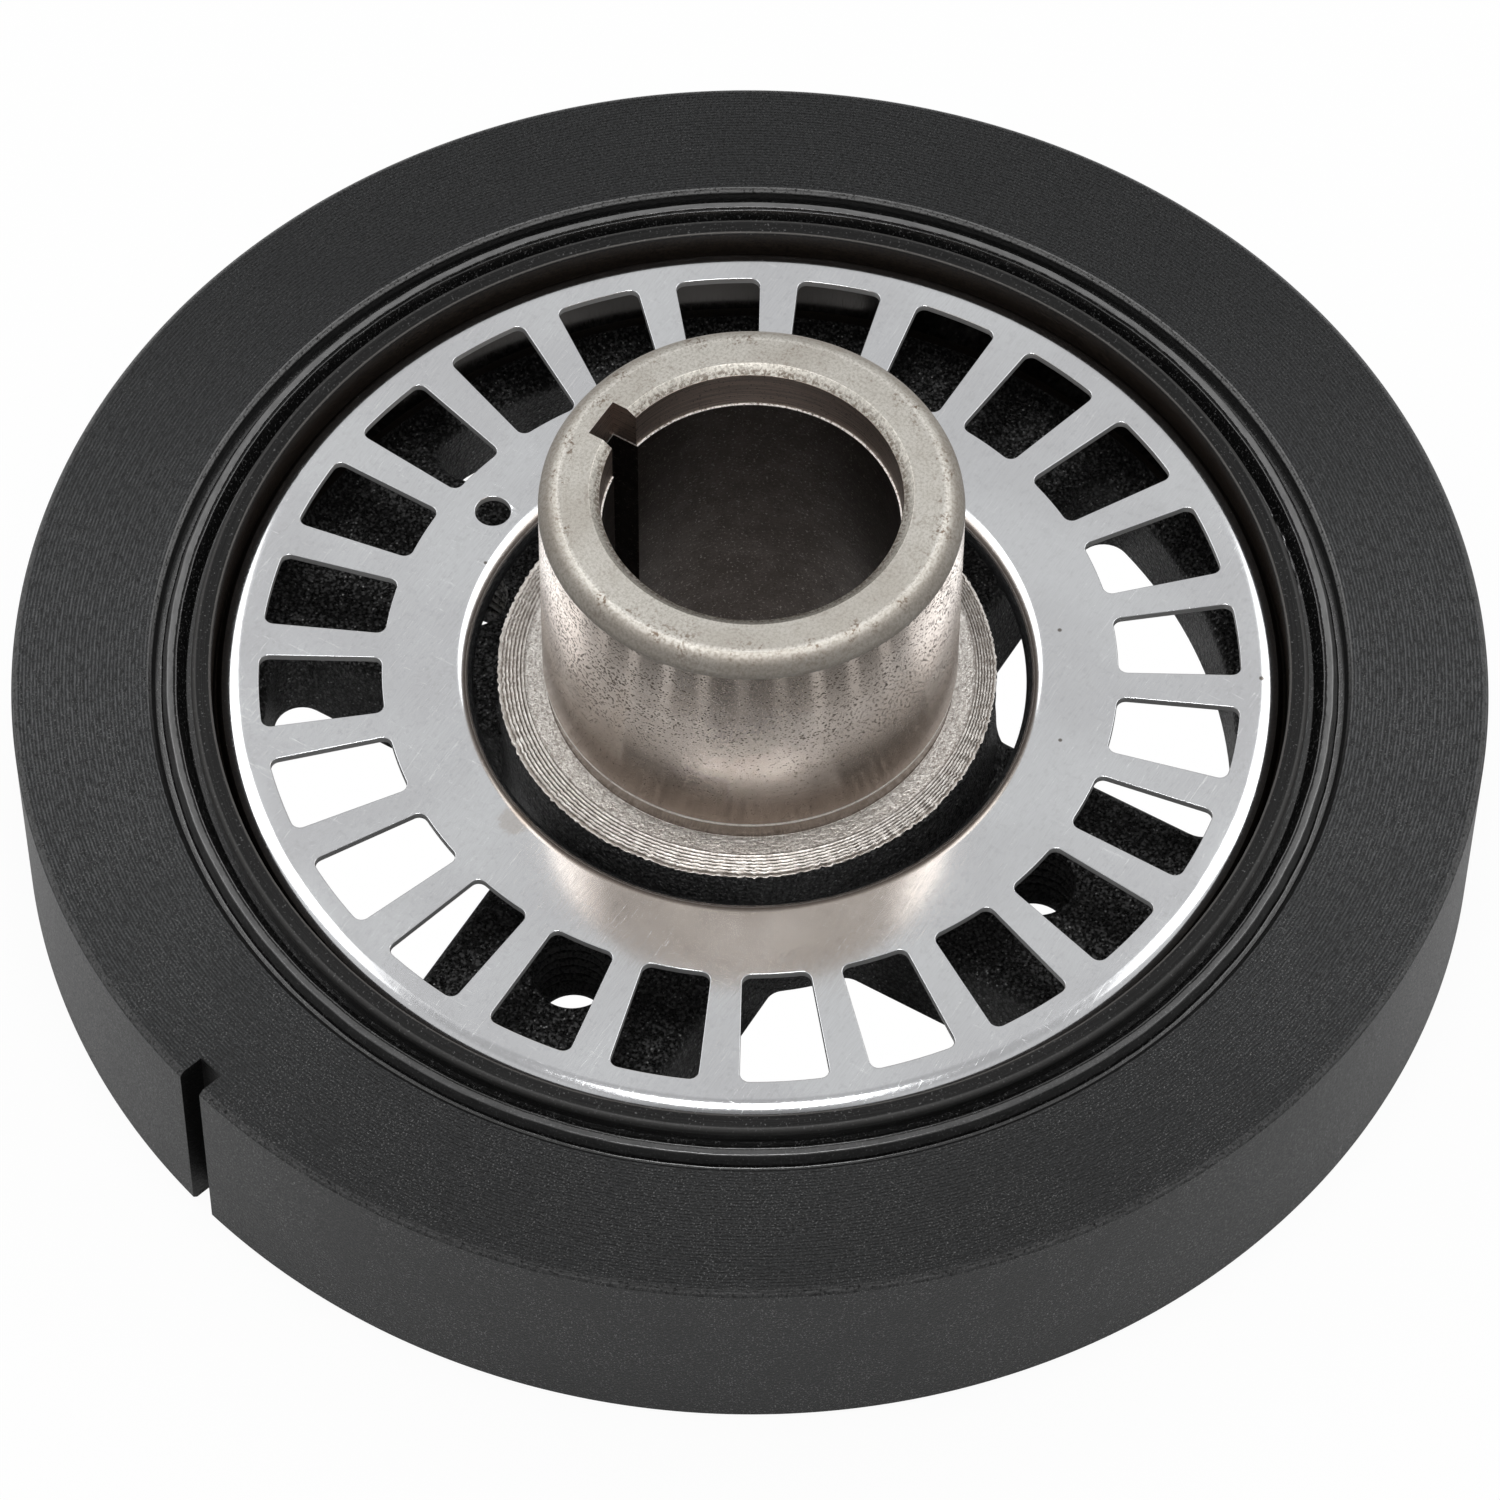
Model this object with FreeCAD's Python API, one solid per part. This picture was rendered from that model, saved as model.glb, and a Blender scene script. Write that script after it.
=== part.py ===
import FreeCAD, Part
import math
import os

# A crankshaft harmonic balancer that also carries the trigger ring for the crank sensor.
# Lengths are in millimetres and angles in degrees, counted from +X towards +Y.
# The origin is the centre of the flat front face. +Z runs along the bore towards the nose,
# which passes through the oil seal of the engine's front cover. The keyway is on the +Y side.

# Inertia ring, cast iron, turned all over, with a timing notch in its side
ring_outer_dia = 158.8
ring_wall = 15.4
ring_width = 25.0
ring_edge_chamfer = 0.5
ring_mouth_width = 0.7
ring_mouth_depth = 0.9
notch_width = 3.0
notch_depth = 2.9
notch_angle = 164.55

# Rubber ring squeezed in between the hub and the inertia ring
rubber_wall = 3.9
groove_depth = 1.5
bead_width = 2.3
bead_crest_width = 1.1
bead_below_face = 0.1

# Hub rim, with a counterbore that the trigger ring is pressed into
rim_proud = 0.3
rim_wall = 2.1
rim_edge_round = 0.6
ledge_width = 0.8
ledge_above_web = 2.9
rim_root_round = 1.5

# Hub web with its windows and spokes; the sides of the spokes lean as drawn from the mould
web_thickness = 9.8
spoke_count = 4
spoke_width = 32.0
spoke_draft = 2.0
spoke_phase = 0.7
window_border = 4.0
window_corner_round = 3.0
spoke_edge_round = 1.2

# Tapped holes for the belt pulley, one in each spoke
tap_circle_dia = 72.6
tap_drill_dia = 8.5
tap_mouth_chamfer = 0.3

# Ground nose and the shoulder and boss that it stands on
nose_dia = 44.7
nose_length = 31.55
nose_corner_round = 2.2
shoulder_width = 4.55
shoulder_below_plate = 0.35
boss_root_round = 2.5
relief_width = 2.3
relief_depth = 0.3

# Bore and keyway for the crankshaft, with a faced seat for the bolt's washer
bore_dia = 31.44
lead_in_step = 0.16
lead_in_depth = 5.6
bore_chamfer_width = 1.1
bore_chamfer_depth = 0.75
keyway_width = 4.76
keyway_depth = 2.85
washer_seat_width = 5.3
washer_seat_depth = 1.0
washer_seat_chamfer = 0.5

# Trigger ring, a cup pressed from stainless sheet
sheet = 0.8
plate_below_rim = 1.8
outer_bend_round = 3.1
inner_bend_round = 1.3
inner_flange_height = 2.2
boss_clearance = 2.95
inner_band = 9.85
outer_band = 5.1
tooth_window_count = 24
tooth_window_phase = 5.4
tooth_window_round = 1.0
tooth_bar_angle = 4.72
peg_hole_dia = 3.9
peg_hole_angle = 85.35

# Radii from the outside inwards, where each piece meets the next
ring_outer_r = ring_outer_dia / 2
ring_bore_r = ring_outer_r - ring_wall
rim_outer_r = ring_bore_r - rubber_wall
pocket_r = rim_outer_r - rim_wall
ledge_inner_r = pocket_r - ledge_width
window_reach_r = ledge_inner_r - window_border

# Radii from the bore outwards
bore_r = bore_dia / 2
nose_r = nose_dia / 2
boss_r = nose_r + shoulder_width
plate_hole_r = boss_r + boss_clearance

# Heights above the front face
ledge_height = web_thickness + ledge_above_web
rim_top = ring_width + rim_proud
plate_top = rim_top - plate_below_rim
plate_under = plate_top - sheet
shoulder_height = plate_top - shoulder_below_plate
nose_top = shoulder_height + nose_length

# How far a cutting tool runs past the face it enters or leaves
past = 1.0

UP = FreeCAD.Vector(0, 0, 1)
ORIGIN = FreeCAD.Vector(0, 0, 0)


def at(radius, angle, height=0.0):
    """Point at a radius and an angle about the axis."""
    turn = math.radians(angle)
    return FreeCAD.Vector(radius * math.cos(turn), radius * math.sin(turn), height)


def around(shape, angle):
    """Copy of a shape turned about the axis."""
    copy = shape.copy()
    copy.rotate(ORIGIN, UP, angle)
    return copy


def section(corners):
    """Face in the XZ plane through (radius, height) corners; a third number rounds a corner."""
    points = [FreeCAD.Vector(corner[0], 0, corner[1]) for corner in corners]
    rounds = [corner[2] if len(corner) > 2 else 0 for corner in corners]
    pieces = []
    for i, (corner, size) in enumerate(zip(points, rounds)):
        before = (points[i - 1] - corner).normalize()
        after = (points[(i + 1) % len(points)] - corner).normalize()
        half = before.getAngle(after) / 2
        reach = size / math.tan(half)
        crown = corner + (before + after).normalize() * (size / math.sin(half) - size)
        pieces.append((corner + before * reach, crown, corner + after * reach))
    edges = []
    for i, (start, crown, end) in enumerate(pieces):
        if rounds[i]:
            edges.append(Part.Arc(start, crown, end).toShape())
        edges.append(Part.LineSegment(end, pieces[(i + 1) % len(pieces)][0]).toShape())
    return Part.Face(Part.Wire(edges))


def turned(corners):
    """Solid of revolution about the axis."""
    return section(corners).revolve(ORIGIN, UP, 360)


def upright_edges(shape):
    """Straight edges parallel to the axis."""
    return [edge for edge in shape.Edges
            if isinstance(edge.Curve, Part.Line) and abs(edge.Curve.Direction.z) > 0.999]


def middle_of(edge):
    return edge.valueAt((edge.FirstParameter + edge.LastParameter) / 2)


def radius_of(point):
    return math.hypot(point.x, point.y)


def inertia_ring():
    """Heavy ring with broken edges, flared mouths for the rubber and the timing notch."""
    ring = turned([
        (ring_bore_r, ring_mouth_depth),
        (ring_bore_r + ring_mouth_width, 0),
        (ring_outer_r - ring_edge_chamfer, 0),
        (ring_outer_r, ring_edge_chamfer),
        (ring_outer_r, ring_width - ring_edge_chamfer),
        (ring_outer_r - ring_edge_chamfer, ring_width),
        (ring_bore_r + ring_mouth_width, ring_width),
        (ring_bore_r, ring_width - ring_mouth_depth),
    ])
    corner = FreeCAD.Vector(ring_outer_r - notch_depth, -notch_width / 2, -past)
    notch = Part.makeBox(notch_depth + past, notch_width, ring_width + 2 * past, corner)
    return ring.cut(around(notch, notch_angle))


def rubber_isolator():
    """Rubber ring whose two ends show a raised bead between two grooves."""
    middle = (rim_outer_r + ring_bore_r) / 2
    foot = bead_width / 2
    crest = bead_crest_width / 2
    lower_end = [
        (rim_outer_r, groove_depth),
        (middle - foot, groove_depth),
        (middle - crest, bead_below_face),
        (middle + crest, bead_below_face),
        (middle + foot, groove_depth),
        (ring_bore_r, groove_depth),
    ]
    upper_end = [(radius, ring_width - height) for radius, height in reversed(lower_end)]
    return turned(lower_end + upper_end)


def beside_spoke():
    """Space on the +Y side of the spoke along +X, whose wall leans away from it with height."""
    foot = spoke_width / 2 + spoke_draft * past / web_thickness
    head = spoke_width / 2 - spoke_draft * (1 + past / web_thickness)
    top = web_thickness + past
    corners = [(foot, -past), (window_reach_r, -past), (window_reach_r, top), (head, top), (foot, -past)]
    wall = Part.makePolygon([FreeCAD.Vector(0, across, height) for across, height in corners])
    return Part.Face(wall).extrude(FreeCAD.Vector(window_reach_r, 0, 0))


def web_window():
    """Cutter for one window between two spokes: a sector whose sides run along the spokes."""
    height = web_thickness + 2 * past
    reach = Part.makeCylinder(window_reach_r, height, FreeCAD.Vector(0, 0, -past), UP)
    next_side = around(beside_spoke().mirror(ORIGIN, FreeCAD.Vector(0, 1, 0)), 360 / spoke_count)
    window = reach.common(beside_spoke()).common(next_side)
    outer_corners = [edge for edge in window.Edges
                     if len(edge.Vertexes) == 2
                     and abs(abs(edge.Vertexes[0].Z - edge.Vertexes[1].Z) - height) < 1e-3
                     and all(radius_of(vertex.Point) > window_reach_r - 1e-3 for vertex in edge.Vertexes)]
    return window.makeFillet(window_corner_round, outer_corners)


def web():
    """Flat disc with windows cut out and the upper edges of its spokes rounded."""
    disc = Part.makeCylinder(ledge_inner_r, web_thickness)
    for i in range(spoke_count):
        disc = disc.cut(around(web_window(), spoke_phase + i * 360 / spoke_count))
    upper_edges = [edge for edge in disc.Edges
                   if abs(middle_of(edge).z - web_thickness) < 1e-3
                   and radius_of(middle_of(edge)) < (window_reach_r + ledge_inner_r) / 2]
    return disc.makeFillet(spoke_edge_round, upper_edges)


def boss_and_nose():
    """Core of the casting before it is bored: cast boss, turned shoulder and ground nose."""
    relief_r = nose_r - relief_depth
    relief_top = shoulder_height + relief_width
    return turned([
        (0, 0),
        (boss_r, 0),
        (boss_r, shoulder_height),
        (relief_r, shoulder_height),
        (relief_r, relief_top),
        (nose_r, relief_top),
        (nose_r, nose_top, nose_corner_round),
        (0, nose_top),
    ])


def rim():
    """Rim of the hub with the counterbore and ledge that the trigger ring sits in."""
    overlap_r = window_reach_r + window_border / 2
    return turned([
        (overlap_r, 0),
        (rim_outer_r, 0, rim_edge_round),
        (rim_outer_r, rim_top, rim_edge_round),
        (pocket_r, rim_top),
        (pocket_r, ledge_height),
        (ledge_inner_r, ledge_height),
        (ledge_inner_r, web_thickness, rim_root_round),
        (overlap_r, web_thickness),
    ])


def tapped_hole():
    """Cutter for a tapped hole at its core diameter, chamfered where the bolt enters."""
    core_r = tap_drill_dia / 2
    hole = turned([
        (0, -past),
        (core_r + tap_mouth_chamfer + past, -past),
        (core_r, tap_mouth_chamfer),
        (core_r, web_thickness + past),
        (0, web_thickness + past),
    ])
    hole.translate(at(tap_circle_dia / 2, 0))
    return hole


def bore():
    """Cutter for the stepped bore, its chamfered mouth, the washer seat and the keyway."""
    lead_in_r = bore_r + lead_in_step
    mouth_r = lead_in_r + bore_chamfer_width
    seat_r = bore_r + washer_seat_width
    step = nose_top - lead_in_depth
    cutter = turned([
        (0, -past),
        (seat_r, -past),
        (seat_r, washer_seat_depth),
        (bore_r + washer_seat_chamfer, washer_seat_depth),
        (bore_r, washer_seat_depth + washer_seat_chamfer),
        (bore_r, step),
        (lead_in_r, step),
        (lead_in_r, nose_top - bore_chamfer_depth),
        (mouth_r, nose_top),
        (mouth_r, nose_top + past),
        (0, nose_top + past),
    ])
    keyway = Part.makeBox(keyway_width, bore_r + keyway_depth, nose_top + 2 * past,
                          FreeCAD.Vector(-keyway_width / 2, 0, -past))
    return cutter.fuse(keyway)


def hub():
    """One iron casting: boss, nose, spoked web and rim, then drilled, bored and broached."""
    casting = boss_and_nose().fuse(web())
    roots = []
    for edge in casting.Edges:
        points = [vertex.Point for vertex in edge.Vertexes] + [middle_of(edge)]
        on_boss = all(abs(radius_of(point) - boss_r) < 1e-3 for point in points)
        if on_boss and 0 < middle_of(edge).z < web_thickness + 1e-3:
            roots.append(edge)
    casting = casting.makeFillet(boss_root_round, roots).fuse(rim())
    for i in range(spoke_count):
        casting = casting.cut(around(tapped_hole(), i * 360 / spoke_count))
    return casting.cut(bore()).removeSplitter()


def tooth_window():
    """Cutter for one window of the trigger ring, with rounded corners."""
    half = (360 / tooth_window_count - tooth_bar_angle) / 2
    inner = plate_hole_r + inner_band
    outer = pocket_r - outer_band
    outline = Part.Wire([
        Part.LineSegment(at(inner, half), at(outer, half)).toShape(),
        Part.Arc(at(outer, half), at(outer, 0), at(outer, -half)).toShape(),
        Part.LineSegment(at(outer, -half), at(inner, -half)).toShape(),
        Part.Arc(at(inner, -half), at(inner, 0), at(inner, half)).toShape(),
    ])
    punch = Part.Face(outline).extrude(UP * (sheet + 2 * past))
    punch.translate(UP * (plate_under - past))
    return punch.makeFillet(tooth_window_round, upright_edges(punch))


def trigger_ring():
    """Pressed cup with a deep outer flange, a turned-down inner edge, windows and a peg hole."""
    lip = plate_top - inner_flange_height
    cup = turned([
        (plate_hole_r, lip),
        (plate_hole_r + sheet, lip),
        (plate_hole_r + sheet, plate_under, inner_bend_round - sheet),
        (pocket_r - sheet, plate_under, outer_bend_round - sheet),
        (pocket_r - sheet, ledge_height),
        (pocket_r, ledge_height),
        (pocket_r, plate_top, outer_bend_round),
        (plate_hole_r, plate_top, inner_bend_round),
    ])
    for i in range(tooth_window_count):
        cup = cup.cut(around(tooth_window(), tooth_window_phase + i * 360 / tooth_window_count))
    peg_centre = at(plate_hole_r + inner_band / 2, peg_hole_angle, plate_under - past)
    peg_hole = Part.makeCylinder(peg_hole_dia / 2, sheet + 2 * past, peg_centre, UP)
    return cup.cut(peg_hole)


def save(name, shape):
    """Write one sub-part as its own file once it is one valid solid."""
    if not shape.isValid() or len(shape.Solids) != 1:
        raise RuntimeError(name + " is not one valid solid")
    shape.Solids[0].exportStep("parts/" + name + ".step")


os.makedirs("parts", exist_ok=True)
save("inertia_ring", inertia_ring())
save("rubber_isolator", rubber_isolator())
save("hub", hub())
save("trigger_ring", trigger_ring())
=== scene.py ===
import math

import bpy
import numpy as np
from mathutils import Euler, Matrix, Vector


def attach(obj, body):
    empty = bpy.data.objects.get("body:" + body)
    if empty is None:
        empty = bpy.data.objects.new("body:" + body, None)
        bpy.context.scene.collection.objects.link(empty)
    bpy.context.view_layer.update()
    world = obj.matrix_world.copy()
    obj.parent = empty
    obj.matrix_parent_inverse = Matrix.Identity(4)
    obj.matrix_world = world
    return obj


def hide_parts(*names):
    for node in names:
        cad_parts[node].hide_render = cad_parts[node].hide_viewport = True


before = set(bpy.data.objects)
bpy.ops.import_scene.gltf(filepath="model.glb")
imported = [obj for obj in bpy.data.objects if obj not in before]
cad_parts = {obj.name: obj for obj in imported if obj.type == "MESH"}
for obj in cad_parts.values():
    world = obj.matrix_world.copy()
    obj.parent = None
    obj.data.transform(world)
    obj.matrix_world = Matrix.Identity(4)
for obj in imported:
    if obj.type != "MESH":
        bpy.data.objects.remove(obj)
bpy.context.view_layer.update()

# Hub: one iron casting with a spoked web, a rim and a long nose. It is coated black as cast,
# then the rim and shoulder are turned, the nose is ground and the bore, keyway and threads are cut.
hub_columns = 512
rim_radius = 60.1
rim_top = 25.3
counterbore_radius = 58.0
counterbore_floor = 12.7
ledge_radius = 57.2
web_top = 9.8
washer_seat_radius = 21.02
washer_seat_depth = 1.0
boss_radius = 26.9
boss_lean = 0.5
boss_lean_heading = math.radians(166.0)
boss_levels = (13.5, 15.5, 17.5, 19.0, 20.3, 21.3, 22.1, 22.7)
shoulder_height = 23.15
grooves_start = 26.6
grooves_end = 24.4
groove_count = 7
groove_pitch = 0.36
groove_width = 0.15
groove_depth = 0.08
relief_radius = 22.05
relief_top = shoulder_height + 2.3
nose_radius = 22.35
nose_top = 54.7
bore_radius = 15.72
lead_in_radius = 15.88
lead_in_mouth = 16.98
lead_in_floor = nose_top - 5.6


def rounded(corners, steps=6):
    """Turned outline through (radius, height) corners in mm; a third number rounds its corner."""
    line = []
    for i, corner in enumerate(corners):
        here = np.array(corner[:2], float)
        size = corner[2] if len(corner) > 2 else 0
        if not size:
            line.append(here)
            continue
        before = np.array(corners[i - 1][:2], float) - here
        after = np.array(corners[(i + 1) % len(corners)][:2], float) - here
        before /= np.linalg.norm(before)
        after /= np.linalg.norm(after)
        half = math.acos(float(before @ after)) / 2
        middle = (before + after) / np.linalg.norm(before + after)
        centre = here + middle * size / math.sin(half)
        first = here + before * size / math.tan(half) - centre
        last = here + after * size / math.tan(half) - centre
        sweep = math.pi - 2 * half
        for k in range(steps + 1):
            share = k / steps
            arm = first * math.sin((1 - share) * sweep) + last * math.sin(share * sweep)
            line.append(centre + arm / math.sin(sweep))
    return np.array(line)


def solid_of(name, points, faces):
    """Object from points in mm, in the frame of the part."""
    mesh = bpy.data.meshes.new(name)
    mesh.from_pydata((np.asarray(points) / 1000).tolist(), [], faces)
    mesh.update()
    piece = bpy.data.objects.new(name, mesh)
    bpy.context.scene.collection.objects.link(piece)
    return piece


def ring_faces(rows, columns, closed):
    """Faces between rows of points that go round; the last row joins the first when closed."""
    faces = []
    for i in range(rows if closed else rows - 1):
        lower, upper = i * columns, (i + 1) % rows * columns
        for j in range(columns):
            k = (j + 1) % columns
            faces.append((lower + j, lower + k, upper + k, upper + j))
    return faces


def lathe(name, outline, columns, uneven=None):
    """Body turned round the axis; uneven shifts the radii and heights of its points."""
    turn = np.linspace(0, 2 * math.pi, columns, endpoint=False)
    radius = outline[:, :1] + 0 * turn
    height = outline[:, 1:] + 0 * turn
    if uneven:
        radius, height = uneven(radius, height, turn + 0 * radius)
    points = np.stack([radius * np.cos(turn), radius * np.sin(turn), height], -1).reshape(-1, 3)
    return solid_of(name, points, ring_faces(len(outline), columns, True))


def stacked(levels):
    """Points and faces of a closed cutter through outlines of equal count, from the bottom up."""
    count = len(levels[0][1])
    points = [(x, y, height) for height, outline in levels for x, y in outline]
    faces = ring_faces(len(levels), count, False)
    faces.append(tuple(reversed(range(count))))
    faces.append(tuple(range(len(points) - count, len(points))))
    return np.array(points), faces


def repeated(cutter, count, first):
    """Copies of a cutter in equal steps round the axis, the first turned by an angle in degrees."""
    points, faces = cutter
    x, y, z = points.T
    copies = []
    for k in range(count):
        turn = math.radians(first + 360 / count * k)
        c, s = math.cos(turn), math.sin(turn)
        copies.append((np.stack([x * c - y * s, x * s + y * c, z], -1), faces))
    return copies


def carve(piece, cutters):
    """Cut closed shapes out of a piece in one step."""
    points, faces = [], []
    for cutter_points, cutter_faces in cutters:
        start = sum(len(p) for p in points)
        points.append(cutter_points)
        faces += [tuple(start + i for i in face) for face in cutter_faces]
    tool = solid_of("cutter", np.concatenate(points), faces)
    cut = piece.modifiers.new("cut", "BOOLEAN")
    cut.operation = "DIFFERENCE"
    cut.solver = "MANIFOLD"
    cut.object = tool
    shaped = bpy.data.meshes.new_from_object(piece.evaluated_get(bpy.context.evaluated_depsgraph_get()))
    piece.modifiers.clear()
    old = piece.data
    piece.data = shaped
    shaped.name = piece.name
    bpy.data.meshes.remove(old)
    bpy.data.objects.remove(tool)


def smooth(piece, angle=32):
    """Shade the curves smooth, keep the edges sharp and the flat faces flat."""
    mesh = piece.data
    mesh.shade_smooth()
    mesh.set_sharp_from_angle(angle=math.radians(angle))
    weighted = piece.modifiers.new("normals", "WEIGHTED_NORMAL")
    weighted.keep_sharp = True
    weighted.weight = 80


def paint(piece, finishes, choose):
    """Give each face one of the finishes, by the radius and height of its middle in mm and by its facing."""
    mesh = piece.data
    middle = np.zeros(len(mesh.polygons) * 3)
    mesh.polygons.foreach_get("center", middle)
    facing = np.zeros(len(mesh.polygons) * 3)
    mesh.polygons.foreach_get("normal", facing)
    x, y, z = middle.reshape(-1, 3).T * 1000
    mesh.materials.clear()
    for finish in finishes:
        mesh.materials.append(finish)
    picked = choose(np.hypot(x, y), z, facing.reshape(-1, 3))
    mesh.polygons.foreach_set("material_index", np.asarray(picked, dtype=np.int32))
    mesh.update()


def ragged(turn, seed, low, high):
    """Uneven line round the axis, about one high, with waves from low to high to the turn."""
    draw = np.random.default_rng(seed)
    waves = np.arange(low, high + 1)
    phases = draw.uniform(0, 2 * math.pi, len(waves))
    sizes = draw.normal(0, 1, len(waves)) / np.sqrt(waves)
    total = sum(size * np.sin(wave * turn + phase) for wave, phase, size in zip(waves, phases, sizes))
    return total / math.sqrt(float(np.sum(sizes ** 2)) / 2)


def cast_boss(radius, height, turn):
    """The cast boss stands a little off the turned axis, with a torn edge where the shoulder was faced."""
    share = np.clip((radius - grooves_end) / (boss_radius - grooves_end), 0, 1) * (radius < boss_radius + 0.5)
    share = share * np.clip((height - 13) / 4, 0, 1)
    lean = boss_lean * np.cos(turn - boss_lean_heading)
    grain = 0.035 * ragged(turn, 3, 6, 30) + 0.03 * ragged(turn + height * 0.35, 5, 60, 140)
    torn = 0.06 * ragged(turn, 11, 120, 250) * np.clip((height - 19.5) / 3.5, 0, 1) ** 2
    return radius + share * (lean + grain + torn), height


hub_outline = rounded([
    (washer_seat_radius, 0, 0.15),
    (rim_radius, 0, 0.6),
    (rim_radius, rim_top, 0.55),
    (counterbore_radius, rim_top, 0.18),
    (counterbore_radius, counterbore_floor),
    (ledge_radius, counterbore_floor, 0.15),
    (ledge_radius, web_top, 1.5),
    (boss_radius, web_top, 2.5),
] + [
    (boss_radius, level) for level in boss_levels
] + [
    (boss_radius, shoulder_height, 0.08),
] + [
    (grooves_start - groove_pitch * k - shift, shoulder_height - depth)
    for k in range(groove_count) for shift, depth in ((0, 0), (groove_width, groove_depth))
] + [
    (relief_radius, shoulder_height, 0.12),
    (relief_radius, relief_top, 0.08),
    (nose_radius, relief_top, 0.08),
    (nose_radius, nose_top, 2.2),
    (lead_in_mouth, nose_top, 0.12),
    (lead_in_radius, nose_top - 0.75, 0.12),
    (lead_in_radius, lead_in_floor),
    (bore_radius, lead_in_floor, 0.06),
    (bore_radius, washer_seat_depth + 0.5),
    (bore_radius + 0.5, washer_seat_depth),
    (washer_seat_radius, washer_seat_depth, 0.1),
])
hub = lathe("hub_casting", hub_outline, hub_columns, cast_boss)

spoke_count = 4
spoke_half = 16.0
spoke_draft = 2.0
spoke_round = 1.2
spoke_phase = 0.7
window_reach = 53.2
window_corner = 3.0
window_inner_corner = 2.5
window_foot_round = 0.3


def arc(x, y, radius, start, end, count):
    """Points along an arc, angles in radians."""
    angles = np.linspace(start, end, count)
    return np.stack([x + radius * np.cos(angles), y + radius * np.sin(angles)], -1)


def web_window_at(height, grown):
    """Outline of a web window at a height, grown all round by the rounding of an edge."""
    lean = spoke_draft * min(max(height, 0.0), web_top) / web_top
    side = spoke_half - lean - grown
    reach = window_reach + grown
    outer = window_corner + grown
    inner = window_inner_corner + grown
    outer_side, inner_side = side + outer, side + inner
    outer_leg = math.sqrt((reach - outer) ** 2 - outer_side ** 2)
    inner_leg = math.sqrt((boss_radius + inner) ** 2 - inner_side ** 2)
    outer_turn = math.atan2(outer_side, outer_leg)
    inner_turn = math.atan2(inner_side, inner_leg)
    quarter = math.pi / 2
    return np.concatenate([
        arc(inner_leg, inner_side, inner, inner_turn + math.pi, 3 * quarter, 8),
        arc(outer_leg, outer_side, outer, -quarter, outer_turn, 12),
        arc(0, 0, reach, outer_turn, quarter - outer_turn, 26)[1:-1],
        arc(outer_side, outer_leg, outer, quarter - outer_turn, 2 * quarter, 12),
        arc(inner_side, inner_leg, inner, 2 * quarter, 3 * quarter - inner_turn, 8),
        arc(0, 0, boss_radius - 0.02, quarter - inner_turn, inner_turn, 16)[1:-1],
    ])


# The edges of the windows are rounded below and, more so, on top of the spokes.
window_levels = [(-1.0, web_window_at(0, window_foot_round))]
for k in range(5):
    rise = window_foot_round * (1 - math.cos(k / 4 * math.pi / 2))
    grown = window_foot_round * (1 - math.sin(k / 4 * math.pi / 2))
    window_levels.append((rise, web_window_at(window_foot_round, grown)))
window_levels.append((web_top / 2, web_window_at(web_top / 2, 0.0)))
for k in range(7):
    height = web_top - spoke_round * (1 - math.sin(k / 6 * math.pi / 2))
    grown = 0.001 + spoke_round * (1 - math.cos(k / 6 * math.pi / 2))
    window_levels.append((height, web_window_at(height, grown)))
window_levels.append((web_top + 2.7, web_window_at(web_top, spoke_round + 0.001)))
hub_cuts = repeated(stacked(window_levels), spoke_count, spoke_phase)

# The four tapped holes take the bolts of the belt pulley. The thread runs right through the web,
# so its crests show as a fine saw edge, and the black coat has run together at the lower mouth.
tap_circle_radius = 36.3
thread_pitch = 1.5
thread_core = 4.22
thread_depth = 0.72
thread_columns = 56
thread_rows = 66
coat_run_depth = 0.5


def tapped_hole_at(height):
    """Outline of a tapped hole at a height, where its thread has turned by the pitch."""
    turns = np.linspace(0, 2 * math.pi, thread_columns, endpoint=False)
    share = (height / thread_pitch - turns / (2 * math.pi)) % 1.0
    groove = np.clip(1.25 - abs(share - 0.5) * 3.4, 0, 1)
    groove = groove * np.clip((web_top - 0.05 - height) / 0.7, 0, 1) * np.clip(height - 0.7, 0, 1)
    radius = thread_core + thread_depth * groove - coat_run_depth * np.clip(1.6 - height, 0, 1)
    return np.stack([tap_circle_radius + radius * np.cos(turns), radius * np.sin(turns)], -1)


thread_levels = [(height, tapped_hole_at(height)) for height in np.linspace(-0.6, web_top + 0.8, thread_rows)]
hub_cuts += repeated(stacked(thread_levels), spoke_count, 0)

# The keyway is broached through the whole bore, with sharp walls and a flat floor. Its key keeps the
# hub from turning on the crank.
keyway_half = 2.38
keyway_floor = 18.57
keyway_start = 10.0
keyway = [(-keyway_half, keyway_start), (keyway_half, keyway_start), (keyway_half, keyway_floor),
          (-keyway_half, keyway_floor)]
hub_cuts.append(stacked([(-1.0, keyway), (nose_top + 1.0, keyway)]))
carve(hub, hub_cuts)
smooth(hub)


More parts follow.
